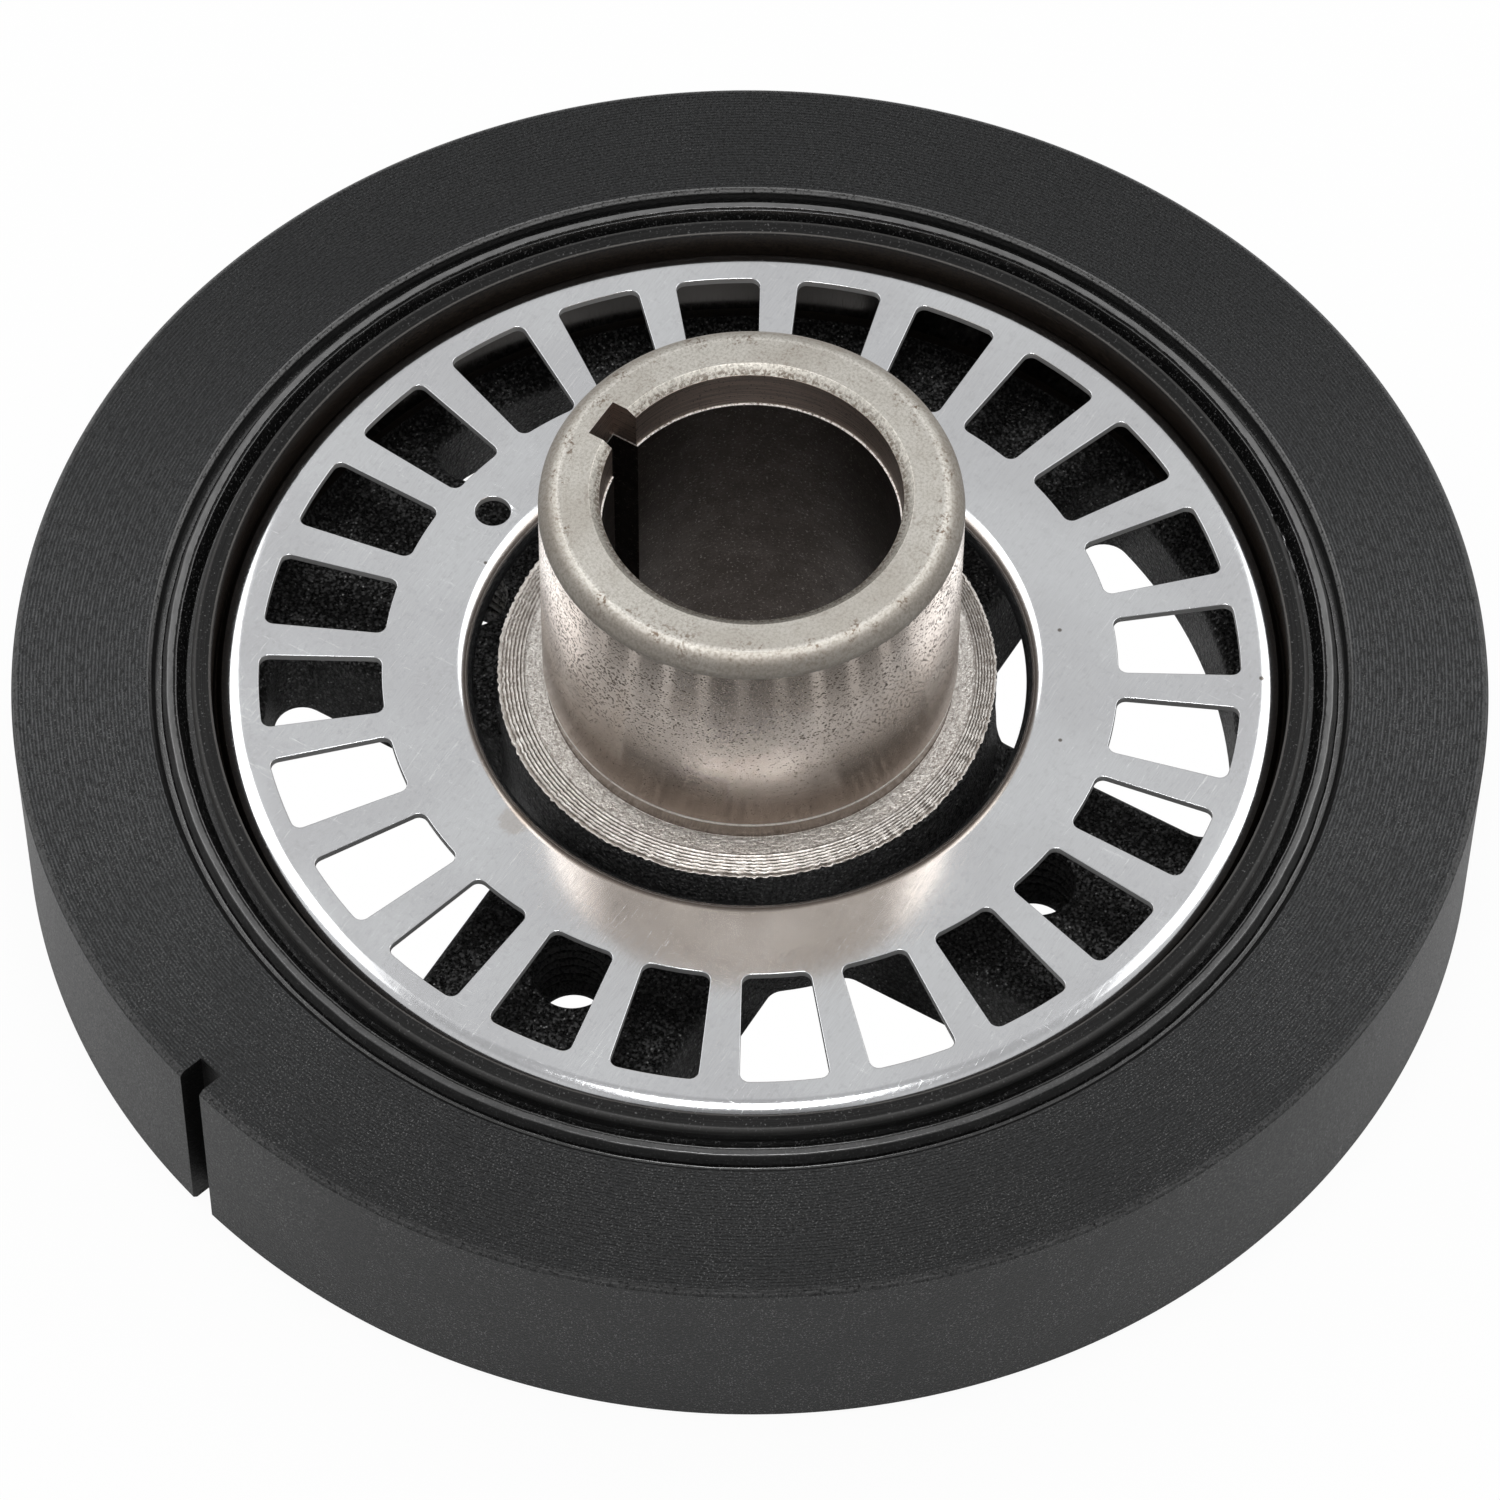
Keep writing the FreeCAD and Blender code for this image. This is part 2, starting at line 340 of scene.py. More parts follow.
class Amount:
    """One number that varies over a surface; sums on it add Math nodes."""

    def __init__(self, finish, socket):
        self.finish = finish
        self.socket = socket

    def math(self, operation, *others):
        """Add a Math node on this number and the others."""
        node = self.finish.node("ShaderNodeMath", {"operation": operation}, dict(enumerate((self,) + others)))
        return Amount(self.finish, node.outputs[0])

    def __add__(self, other):
        return self.math("ADD", other)

    __radd__ = __add__

    def __mul__(self, other):
        return self.math("MULTIPLY", other)

    __rmul__ = __mul__

    def __sub__(self, other):
        return self.math("SUBTRACT", other)

    def __rsub__(self, other):
        return (self * -1.0) + other

    def __truediv__(self, other):
        return self.math("DIVIDE", other)

    def __pow__(self, other):
        return self.math("POWER", other)

    def least(self, other):
        return self.math("MINIMUM", other)

    def most(self, other):
        return self.math("MAXIMUM", other)

    def between(self, low, high, out_low=0.0, out_high=1.0):
        """Map low..high to out_low..out_high with soft ends, held beyond them."""
        node = self.finish.node("ShaderNodeMapRange", {"interpolation_type": "SMOOTHSTEP"},
                                {0: self, 1: low, 2: high, 3: out_low, 4: out_high})
        return Amount(self.finish, node.outputs[0])


def together(first, second):
    """Length of the slope over two sides at a right angle."""
    return (first * first + second * second) ** 0.5


# The near side of the picture lies at this heading on the part.
near_heading = math.radians(211.0)


class Finish:
    """One surface finish, with the place on the part in mm as radius, height and way round."""

    def __init__(self, name):
        self.material = bpy.data.materials.new(name)
        self.material.use_nodes = True
        self.tree = self.material.node_tree
        self.tree.nodes.clear()
        metres = self.node("ShaderNodeTexCoord").outputs["Object"]
        self.place = self.node("ShaderNodeVectorMath", {"operation": "SCALE"},
                               {0: metres, "Scale": 1000.0}).outputs[0]
        split = self.node("ShaderNodeSeparateXYZ", {}, {0: self.place}).outputs
        self.x, self.y, self.height = (Amount(self, s) for s in split)
        self.radius = together(self.x, self.y)
        # Along points to the near side and across to the right; the seam of the angle is on the far side.
        self.along = self.x * math.cos(near_heading) + self.y * math.sin(near_heading)
        self.across = self.x * -math.sin(near_heading) + self.y * math.cos(near_heading)
        self.around = self.across.math("ARCTAN2", self.along)

    def node(self, kind, settings=None, sockets=None):
        """Add a node: its settings first, then the values or links of its sockets."""
        node = self.tree.nodes.new(kind)
        for name, value in (settings or {}).items():
            setattr(node, name, value)
        for key, value in (sockets or {}).items():
            socket = node.inputs[key]
            if isinstance(value, Amount):
                self.tree.links.new(value.socket, socket)
            elif isinstance(value, bpy.types.NodeSocket):
                self.tree.links.new(value, socket)
            else:
                socket.default_value = value
        return node

    def spot(self, x, y, z):
        """Vector from three amounts or numbers."""
        return self.node("ShaderNodeCombineXYZ", {}, {0: x, 1: y, 2: z}).outputs[0]

    def stretched(self, *scales):
        """Place on the part with each axis scaled."""
        return self.node("ShaderNodeVectorMath", {"operation": "MULTIPLY"},
                         {0: self.place, 1: scales}).outputs[0]

    def noise(self, where, scale=1.0, detail=2.0, roughness=0.5, distortion=0.0):
        """Cloudy noise around a half."""
        node = self.node("ShaderNodeTexNoise", {}, {"Vector": where, "Scale": scale, "Detail": detail,
                                                    "Roughness": roughness, "Distortion": distortion})
        return Amount(self, node.outputs[0])

    def cells(self, where, scale=1.0):
        """Distance to the nearest of many scattered points."""
        node = self.node("ShaderNodeTexVoronoi", {"feature": "F1"}, {"Vector": where, "Scale": scale})
        return Amount(self, node.outputs["Distance"])

    def away_from(self, x, y):
        """Distance in mm from a spot, seen from above."""
        return together(self.x - x, self.y - y)

    def mixed(self, share, first, second):
        """Colour that goes from the first to the second as share goes from 0 to 1."""
        node = self.node("ShaderNodeMix", {"data_type": "RGBA"}, {0: share, 6: first, 7: second})
        return node.outputs[2]

    def bump(self, height, strength, distance):
        """Normal tilted by a height that varies over the surface."""
        sockets = {"Strength": strength, "Distance": distance, "Height": height}
        return self.node("ShaderNodeBump", {}, sockets).outputs[0]

    def done(self, **sockets):
        """Close the finish with the surface shader; underscores stand for spaces."""
        named = {name.replace("_", " "): value for name, value in sockets.items()}
        shader = self.node("ShaderNodeBsdfPrincipled", {}, named)
        self.node("ShaderNodeOutputMaterial", {}, {0: shader.outputs[0]})
        return self.material


def shade(level, warmth=0.0):
    """Grey of a given level, pulled towards brown by warmth."""
    return (level * (1 + warmth), level, level * (1 - warmth), 1.0)


def ground_iron():
    """Bare ground iron of the nose, oily pinkish brown-grey, with short dark pits along the grinding."""
    f = Finish("ground_iron")
    drift = f.noise(f.place, 0.09, 3.0, 0.55)
    lines = f.noise(f.spot(f.radius * 3.0, f.around * 1.2, f.height * 9.0), 1.0, 3.0, 0.6)
    wavy = f.noise(f.place, 1.6, 2.0, 0.6)
    streaks = f.cells(f.spot(f.around * 58.0 + wavy * 0.5, f.height * 3.9 + wavy * 0.5, 0.0), 1.0)
    where = f.noise(f.stretched(0.13, 0.13, 0.2), 1.0, 2.0, 0.5)
    some = f.noise(f.spot(f.around * 34.0, f.height * 2.6, 4.0), 1.0, 1.0, 0.5)
    reach = ((where - 0.5) * 0.35 + (some - 0.5) * 0.6 + f.height.between(26.0, 44.0, 0.08, 0.24)
             + f.across * f.across * 0.00022)
    # Painted shade: the relief at the foot of the nose is painted darker, as unground iron with painted shade
    # in it.
    relief_shade = (f.height.between(relief_top + 0.05, relief_top - 0.05)
              * f.height.between(shoulder_height - 0.15, shoulder_height + 0.15))
    # Painted highlight: a thin light, matt line is painted round the lip at the top of the relief.
    lip_highlight = (f.height.between(relief_top + 0.5, relief_top + 0.35)
           * f.height.between(relief_top - 0.15, relief_top - 0.09))
    pitted = (reach - streaks).between(-0.07, 0.02) * (1.0 - relief_shade)
    wall = f.mixed(drift.between(0.35, 0.65), (0.78, 0.68, 0.59, 1.0), (0.90, 0.80, 0.71, 1.0))
    base = f.mixed(lines.between(0.42, 0.62) * 0.25, wall, (0.48, 0.395, 0.33, 1.0))
    base = f.mixed(f.height.between(37.0, 29.0) * 0.88, base, (0.25, 0.195, 0.16, 1.0))
    base = f.mixed(relief_shade * 0.45, base, (0.22, 0.19, 0.17, 1.0))
    base = f.mixed(lip_highlight * some.between(0.35, 0.45, 0.6, 1.0), base, (0.95, 0.90, 0.85, 1.0))
    base = f.mixed(pitted * 0.9, base, (0.06, 0.04, 0.03, 1.0))
    rough = lines.between(0.3, 0.7, 0.17, 0.25) + pitted * 0.2
    return f.done(Base_Color=base, Metallic=1.0 - lip_highlight, Roughness=rough, Anisotropic=0.8,
                  Anisotropic_Rotation=0.25, Normal=f.bump(lines * 0.25 - pitted, 0.35, 0.00003))


def turned_top():
    """Turned top of the nose: beige-grey, mottled, with rust freckles, a painted highlight line, painted
    shade on the rounded edge and a pitted mouth.
    """
    f = Finish("turned_top")
    drift = f.noise(f.place, 0.12, 3.0, 0.55)
    grain = f.noise(f.place, 3.0, 3.0, 0.7)
    turned = f.noise(f.spot(f.radius * 6.0, f.around * 3.0, 0.0), 1.0, 3.0, 0.6)
    freckles = f.noise(f.place, 2.4, 3.0, 0.65)
    stains = f.noise(f.place, 0.4, 4.0, 0.6)
    # Painted highlight: a light line is painted where the top begins to round over.
    line = f.radius.between(20.0, 20.12) * f.radius.between(20.5, 20.38)
    band = f.radius.between(18.8, 20.0) * f.radius.between(22.2, 21.2)
    mouth = f.radius.between(lead_in_mouth + 0.07, lead_in_mouth - 0.03)
    lower_mouth = (f.radius + (freckles - 0.5) * 1.2).between(16.75, 16.35)
    base = f.mixed(drift.between(0.38, 0.62), (0.47, 0.445, 0.405, 1.0), (0.55, 0.53, 0.49, 1.0))
    base = f.mixed(grain.between(0.4, 0.66) * 0.55, base, (0.26, 0.235, 0.195, 1.0))
    base = f.mixed(turned.between(0.5, 0.68) * 0.22, base, (0.28, 0.25, 0.21, 1.0))
    base = f.mixed(stains.between(0.5, 0.62) * freckles.between(0.5, 0.58) * (band * 0.55 + 0.3), base,
                   (0.13, 0.085, 0.055, 1.0))
    base = f.mixed(line * grain.between(0.62, 0.45) * 0.35, base, (0.78, 0.755, 0.71, 1.0))
    base = f.mixed(mouth * grain.between(0.6, 0.42) * 0.7, base, (0.66, 0.63, 0.57, 1.0))
    base = f.mixed(lower_mouth * freckles.between(0.42, 0.58) * 0.75, base, (0.13, 0.095, 0.07, 1.0))
    # Painted shade: the rounded edge is painted darker towards the wall.
    outer = f.radius.between(20.6, 21.4)
    base = f.mixed(outer * 0.5, base, (0.27, 0.235, 0.20, 1.0))
    rough = grain.between(0.3, 0.7, 0.3, 0.42) + mouth * 0.1 + f.radius.between(20.0, 21.0) * 0.24
    return f.done(Base_Color=base, Metallic=1.0, Roughness=rough,
                  Normal=f.bump(grain * 0.6 + turned * 0.4, 0.45, 0.00006))


def faced_iron():
    """Bare turned iron of the shoulder: tool grooves with painted shade in them outside, blasted with painted
    glints inside.
    """
    f = Finish("faced_iron")
    wobble = f.noise(f.spot(f.radius * 2.6, f.around * 16.0, 0.0), 1.0, 3.0, 0.65)
    turned = f.radius.between(grooves_end - 0.5, grooves_end)
    sparkle = f.noise(f.place, 4.0, 2.0, 0.7)
    # Painted shade: the tool grooves are painted dark.
    groove_shade = f.height.between(shoulder_height - 0.01, shoulder_height - 0.07) * turned
    base = f.mixed(wobble.between(0.35, 0.65), (0.54, 0.515, 0.485, 1.0), (0.34, 0.315, 0.29, 1.0))
    base = f.mixed(groove_shade * 0.75, base, (0.10, 0.085, 0.075, 1.0))
    # Painted glints: light specks are painted on the blasted face, fewer over the grooves.
    base = f.mixed(sparkle.between(0.48, 0.66) * (0.8 - turned * 0.4), base, (0.74, 0.72, 0.69, 1.0))
    base = f.mixed(sparkle.between(0.42, 0.3), base, (0.22, 0.19, 0.17, 1.0))
    return f.done(Base_Color=base, Metallic=1.0, Roughness=wobble.between(0.3, 0.7, 0.34, 0.46),
                  Normal=f.bump(sparkle * (1.3 - turned * 0.6), 0.8, 0.0001))


def bored_iron():
    """Bare iron of the bore, dark and brownish, with fine tool lines round the hole and a bright step."""
    f = Finish("bored_iron")
    lines = f.noise(f.stretched(0.12, 0.12, 7.0), 1.0, 3.0, 0.6)
    blotch = f.noise(f.place, 0.35, 4.0, 0.6)
    specks = f.noise(f.place, 3.2, 3.0, 0.7)
    step = (f.height.between(lead_in_floor - 0.15, lead_in_floor - 0.08)
            * f.height.between(lead_in_floor + 0.2, lead_in_floor + 0.1))
    base = f.mixed(blotch.between(0.35, 0.65), (0.08, 0.066, 0.058, 1.0), (0.115, 0.098, 0.088, 1.0))
    lead_in = f.height.between(lead_in_floor - 0.2, lead_in_floor + 0.2)
    base = f.mixed(lead_in * 0.9, base, (0.80, 0.66, 0.58, 1.0))
    base = f.mixed(lines.between(0.4, 0.65) * 0.4, base, (0.09, 0.07, 0.06, 1.0))
    base = f.mixed(specks.between(0.58, 0.70) * 0.7, base, (0.5, 0.46, 0.42, 1.0))
    base = f.mixed(specks.between(0.42, 0.32) * 0.7, base, (0.03, 0.022, 0.018, 1.0))
    base = f.mixed(step * specks.between(0.36, 0.52), base, (0.95, 0.92, 0.88, 1.0))
    return f.done(Base_Color=base, Metallic=1.0 - step * 0.8, Roughness=lines.between(0.3, 0.7, 0.34, 0.46),
                  Normal=f.bump(lines + blotch * 0.4, 0.35, 0.00004))


def cast_black():
    """Cast skin under the black coat: sandy grains of about 0.4 mm, with small glints on them."""
    f = Finish("cast_black")
    grains = f.cells(f.place, 2.2)
    sand = f.noise(f.place, 3.0, 3.0, 0.65)
    lumps = f.noise(f.place, 0.5, 3.0, 0.5)
    glints = f.cells(f.stretched(1.5, 1.5, 1.5))
    crown = sand * 1.6 - grains
    base = f.mixed(crown.between(0.25, 0.62), shade(0.002), shade(0.10))
    base = f.mixed(glints.between(0.22, 0.12) * sand.between(0.48, 0.56), base, shade(0.50))
    # The crests of the threads are painted lighter as painted highlights, and one hole has painted glints on
    # its crests on its side towards the boss.
    wide, deep = f.x.math("ABSOLUTE"), f.y.math("ABSOLUTE")
    from_hole = together(wide.most(deep) - tap_circle_radius, wide.least(deep))
    crest_highlight = (from_hole.between(thread_core + 0.53, thread_core + 0.23)
             * f.height.between(web_top - 0.1, web_top - 0.5))
    base = f.mixed(crest_highlight * sand.between(0.35, 0.6, 0.4, 1.0), base, shade(0.20))
    # Painted glints: light, warm glints are painted on the threads of one hole, on its side towards the boss.
    bare = (f.x - f.y).between(-33.2, -31.6) * f.y.between(28.0, 30.0)
    base = f.mixed(crest_highlight * bare * sand.between(0.4, 0.5), base, shade(0.55, 0.03))
    return f.done(Base_Color=base, Metallic=0.0, Roughness=sand.between(0.4, 0.6, 0.26, 0.48),
                  Specular_IOR_Level=0.5, Normal=f.bump(crown * 0.6 + lumps * 0.8, 1.0, 0.0007))


def turned_black():
    """Turned rim under the thin black coat: grainy, with the lines of the tool, a worn inner edge and a
    painted highlight on the rounding of the outer edge.
    """
    f = Finish("turned_black")
    lines = f.noise(f.spot(f.radius * 7.0, f.around * 4.0, f.height * 6.0), 1.0, 3.0, 0.6)
    grain = f.noise(f.place, 3.0, 3.0, 0.7)
    worn_break = f.noise(f.spot(f.around * 40.0, f.radius, f.height), 1.0, 3.0, 0.65)
    edge = (f.radius.between(counterbore_radius + 0.35, counterbore_radius + 0.15)
            * f.height.between(rim_top - 0.2, rim_top - 0.06))
    worn = (edge + worn_break - 0.5).between(0.35, 0.75) * edge
    wall = (f.height.between(rim_top - 0.2, rim_top - 0.4)
            * f.radius.between(counterbore_radius + 0.3, counterbore_radius + 0.1))
    brown = f.mixed(grain.between(0.35, 0.65), (0.010, 0.008, 0.007, 1.0), (0.028, 0.021, 0.016, 1.0))
    # Painted highlight: the rounding of the rim's outer edge is painted grey.
    outer = (f.radius.between(rim_radius - 0.6, rim_radius - 0.4)
             * f.height.between(rim_top - 1.0, rim_top - 0.7))
    base = f.mixed(lines.between(0.35, 0.7), shade(0.001), shade(0.009, 0.02))
    base = f.mixed(outer, base, shade(0.045, 0.02))
    base = f.mixed(grain.between(0.60, 0.7) * 0.8, base, shade(0.14))
    base = f.mixed(wall, base, brown)
    base = f.mixed(worn * 0.5, base, shade(0.15, 0.05))
    return f.done(Base_Color=base, Metallic=worn * 0.3, Roughness=grain.between(0.3, 0.7, 0.3, 0.5),
                  Specular_IOR_Level=0.18, Normal=f.bump(lines * 0.5 + grain * 0.6, 0.5, 0.0001))


def hub_regions(radius, height, facing):
    """Which of the hub's finishes each face has: bare where it was cut after the coat, black elsewhere."""
    ground, faced, bored, top, cast, turned = range(6)
    nose = radius < nose_radius + 0.05
    regions = np.full(len(radius), cast)
    regions[(radius > ledge_radius - 0.05) & (height > counterbore_floor - 1.2)] = turned
    regions[radius > rim_radius - 0.8] = turned
    regions[(height < 0.1) & (facing[:, 2] < -0.9)] = turned
    regions[(radius < boss_radius + 0.9) & (height > shoulder_height - 0.14)] = faced
    regions[(radius < nose_radius - 0.05) & (height > shoulder_height + 0.02)] = ground
    regions[nose & (height > shoulder_height + 0.2)] = ground
    regions[nose & (height > nose_top - 2.0) & (radius > lead_in_radius + 0.07)] = top
    regions[(radius < keyway_floor + 0.43) & (height < nose_top - 0.8)] = bored
    regions[(radius < washer_seat_radius + 0.08) & (height < washer_seat_depth + 0.2)] = bored
    return regions


hub_finishes = [ground_iron(), faced_iron(), bored_iron(), turned_top(), cast_black(), turned_black()]
paint(hub, hub_finishes, hub_regions)
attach(hub, "root")
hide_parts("hub")

# Trigger ring: a shallow cup pressed from stainless sheet, with 24 punched windows that pass the
# crank sensor and one round peg hole. Its outer flange is pressed into the rim's counterbore.
cup_columns = 512
sheet = 0.8
plate_top = 23.5
plate_hole = 29.85
collar_foot = 21.3
inner_bend = 1.3
outer_bend = 2.3
cup_outline = rounded([
    (plate_hole, collar_foot, 0.1),
    (plate_hole + sheet, collar_foot, 0.1),
    (plate_hole + sheet, plate_top - sheet, inner_bend),
    (counterbore_radius - sheet, plate_top - sheet, outer_bend),
    (counterbore_radius - sheet, counterbore_floor),
    (counterbore_radius, counterbore_floor),
    (counterbore_radius, plate_top, outer_bend + sheet),
    (plate_hole, plate_top, inner_bend + sheet),
], 9)
trigger_ring = lathe("trigger_ring_cup", cup_outline, cup_columns)

window_count = 24
window_bar_angle = 4.72
window_inner_radius = 39.7
window_outer_radius = 52.9
window_corner_radius = 1.0
first_window_heading = 5.4
peg_hole_radius = 1.95
peg_circle_radius = 34.8
peg_heading = 85.35
punch_roll = 0.13


def tooth_window(grown):
    """Outline of one punched window: radial sides, round corners."""
    half = math.radians((360 / window_count - window_bar_angle) / 2)
    inner, outer, corner = window_inner_radius, window_outer_radius, window_corner_radius
    outer_turn = half - math.asin(corner / (outer - corner))
    inner_turn = half - math.asin(corner / (inner + corner))
    outer_x, outer_y = (outer - corner) * math.cos(outer_turn), (outer - corner) * math.sin(outer_turn)
    inner_x, inner_y = (inner + corner) * math.cos(inner_turn), (inner + corner) * math.sin(inner_turn)
    size = corner + grown
    quarter = math.pi / 2
    return np.concatenate([
        arc(outer_x, outer_y, size, outer_turn, half + quarter, 7),
        arc(inner_x, inner_y, size, half + quarter, inner_turn + 2 * quarter, 7),
        arc(0, 0, inner - grown, inner_turn, -inner_turn, 8)[1:-1],
        arc(inner_x, -inner_y, size, 2 * quarter - inner_turn, 3 * quarter - half, 7),
        arc(outer_x, -outer_y, size, -quarter - half, -outer_turn, 7),
        arc(0, 0, outer + grown, -outer_turn, outer_turn, 10)[1:-1],
    ])


def peg_hole(grown):
    """Outline of the round hole that held the sheet on a peg of the press tool."""
    return arc(peg_circle_radius, 0, peg_hole_radius + grown, 0, 2 * math.pi, 49)[:-1]


def punch(outline):
    """Cutter through the sheet that leaves a slightly rolled upper edge."""
    levels = ((-1.5, 0.0), (-0.1, 0.0), (-0.045, 0.02), (-0.01, 0.06), (0.01, punch_roll), (1.0, punch_roll))
    return stacked([(plate_top + rise, outline(grown)) for rise, grown in levels])


carve(trigger_ring, repeated(punch(tooth_window), window_count, first_window_heading)
      + repeated(punch(peg_hole), 1, peg_heading))
smooth(trigger_ring)


def pressed_stainless():
    """Satin stainless sheet with rolling grain, handling scratches, small dents and a few dark spots."""
    f = Finish("pressed_stainless")
    grain = f.noise(f.stretched(0.5, 9.0, 0.5), 1.0, 3.0, 0.6)
    mottle = f.noise(f.place, 1.3, 3.0, 0.7)
    cloud = f.noise(f.place, 0.06, 3.0, 0.5)
    dents = f.noise(f.place, 0.25, 1.0, 0.4)
    scratch_a = f.noise(f.stretched(0.2, 4.5, 0.3), 1.0, 2.0, 0.7, 1.2)
    scratch_b = f.noise(f.stretched(4.0, 0.22, 0.3), 1.0, 2.0, 0.7, 1.4)
    nicks = f.cells(f.stretched(0.9, 0.9, 0.9)).between(0.09, 0.04) * mottle.between(0.5, 0.6)
    scratches = scratch_a.between(0.67, 0.71) + scratch_b.between(0.68, 0.72) + nicks
    base = f.mixed(cloud.between(0.35, 0.65), (0.60, 0.605, 0.62, 1), (0.66, 0.67, 0.685, 1))
    base = f.mixed(grain.between(0.4, 0.6) * 0.12, base, shade(0.40))
    base = f.mixed(mottle.between(0.5, 0.7) * 0.14, base, shade(0.34))
    base = f.mixed(scratches * 0.3, base, shade(0.80))
    for x, y, size in ((21.5, -26.1, 0.3), (9.0, -33.4, 0.28), (27.4, -47.8, 0.35), (-3.5, 31.6, 0.25)):
        dark_spot = f.away_from(x, y).between(size, size * 0.5)
        base = f.mixed(dark_spot * 0.85, base, shade(0.09, 0.2))
    stain = (f.away_from(-30.3, 10.7) + mottle * 2.4 - 1.2).between(2.2, 1.2)
    base = f.mixed(stain * 0.35, base, (0.38, 0.31, 0.24, 1.0))
    under = plate_top - sheet
    punched = (f.height.between(under, under + 0.05) * f.height.between(plate_top - 0.04, plate_top - 0.1)
               * f.radius.between(peg_circle_radius - 2.2, peg_circle_radius - 2.0)
               * f.radius.between(window_outer_radius + 1.5, window_outer_radius + 1.3))
    base = f.mixed(punched, base, shade(0.42))
    inside = (f.height.between(under + 0.04, under - 0.02) * f.radius.between(33.0, 34.0)
              * f.radius.between(counterbore_radius - 0.4, counterbore_radius - 0.5))
    base = f.mixed(inside * 0.9, base, (0.05, 0.042, 0.035, 1.0))
    rough = grain.between(0.3, 0.7, 0.10, 0.17) + scratches * 0.1 + punched * 0.25
    height = grain * 0.003 + mottle * 0.005 + scratches * -0.006 + dents * 0.024
    return f.done(Base_Color=base, Metallic=1.0 - punched * 0.85, Roughness=rough,
                  Normal=f.bump(height, 0.2, 0.001))


trigger_ring.data.materials.clear()
trigger_ring.data.materials.append(pressed_stainless())
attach(trigger_ring, "root")
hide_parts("trigger_ring")

# Rubber isolator: a strip of rubber squeezed in between the hub's rim and the inertia ring, which
# holds the two together and lets the ring swing a little. At each end it bulges to a bead between grooves.
ring_columns = 720
ring_width = 25.0
ring_bore_radius = 64.0
rubber_end = [
    (rim_radius, 1.7),
    (60.75, 1.7, 0.25),
    (61.75, 0.2, 0.12),
    (61.92, 0.35),
    (62.05, 0.1, 0.1),
    (62.75, 0.08, 0.22),
    (63.35, 1.5, 0.2),
    (ring_bore_radius, 1.5),
]
rubber_top = [(radius, ring_width - depth, *corner) for radius, depth, *corner in reversed(rubber_end)]
tear_start = -50.0
tear_end = -40.0
nick_heading = -39.5


def torn_rubber(radius, height, turn):
    """The inner foot is torn along a short arc, with a nick at its end; the bead waves a little."""
    inner = (radius > rim_radius + 0.05) & (radius < 61.3) & (height > ring_width - 3)
    heading = (np.degrees(turn) + 180) % 360 - 180
    torn_share = np.clip((heading - tear_start) / 1.5, 0, 1) * np.clip((tear_end - heading) / 1.5, 0, 1)
    flash = torn_share * (0.25 + 0.2 * ragged(turn, 21, 150, 240))
    nick = -0.6 * np.exp(-((heading - nick_heading) / 0.35) ** 2)
    bead = (radius > 61.3) & (radius < ring_bore_radius - 0.1)
    wave = 0.02 * ragged(turn, 23, 12, 90)
    ends = abs(height - ring_width / 2) > 8
    return radius + bead * ends * wave, np.where(inner, height + flash + nick, height)


isolator = lathe("rubber_isolator_ring", rounded(rubber_end + rubber_top, 5), ring_columns, torn_rubber)
smooth(isolator, 40)


def squeezed_rubber():
    """Black rubber with a fine mould skin, dust on its bead, and the top of the bead painted grey: greying of
    the skin and a painted sheen, lighter towards the far side.
    """
    f = Finish("squeezed_rubber")
    skin = f.noise(f.spot(f.radius * 2.0, f.around * 25.0, f.height * 2.0), 1.0, 3.0, 0.6)
    dust = f.noise(f.place, 3.5, 3.0, 0.7)
    uneven = f.noise(f.spot(f.around * 60.0, 0.0, f.height * 0.4), 1.0, 3.0, 0.6)
    edge = f.radius + (uneven - 0.5) * 0.5
    bead = (edge.between(62.0, 62.15) * edge.between(63.4, 63.2)
            * f.height.between(ring_width - 1.4, ring_width - 1.0))
    # Painted sheen: the top of the bead is painted grey, partly greying of the skin and partly painted sheen,
    # lighter towards the far side.
    greyed_and_sheen = skin.between(0.3, 0.6, 0.7, 1.0) * f.along.between(60.0, -20.0, 0.3, 1.0)
    base = f.mixed(dust.between(0.56, 0.70), shade(0.004), shade(0.09))
    base = f.mixed(bead * greyed_and_sheen, base, shade(0.12))
    return f.done(Base_Color=base, Metallic=0.0, Roughness=skin.between(0.3, 0.7, 0.14, 0.26),
                  Specular_IOR_Level=0.8, Normal=f.bump(skin + dust * 0.5, 0.2, 0.00012))


isolator.data.materials.clear()
isolator.data.materials.append(squeezed_rubber())
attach(isolator, "root")
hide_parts("rubber_isolator")

# Inertia ring: heavy iron ring, turned all over under a thin black coat, with the timing notch
# milled into its side.
ring_radius = 79.4
ring_chamfer = 0.5
mouth_radius = ring_bore_radius + 0.7
mouth_depth = 0.9
notch_heading = 164.55
notch_half = 1.5
notch_floor = 76.5
ring_outline = rounded([
    (ring_bore_radius, mouth_depth, 0.1),
    (mouth_radius, 0, 0.12),
    (ring_radius - ring_chamfer, 0, 0.15),
    (ring_radius, ring_chamfer, 0.15),
    (ring_radius, ring_width - ring_chamfer, 0.18),
    (ring_radius - ring_chamfer, ring_width, 0.18),
    (mouth_radius, ring_width, 0.12),
    (ring_bore_radius, ring_width - mouth_depth, 0.1),
], 4)
inertia_ring = lathe("inertia_ring_turned", ring_outline, ring_columns)
notch = [(notch_floor, -notch_half), (82.0, -notch_half), (82.0, notch_half), (notch_floor, notch_half)]
carve(inertia_ring, repeated(stacked([(-1.0, notch), (ring_width + 1.0, notch)]), 1, notch_heading))
smooth(inertia_ring)


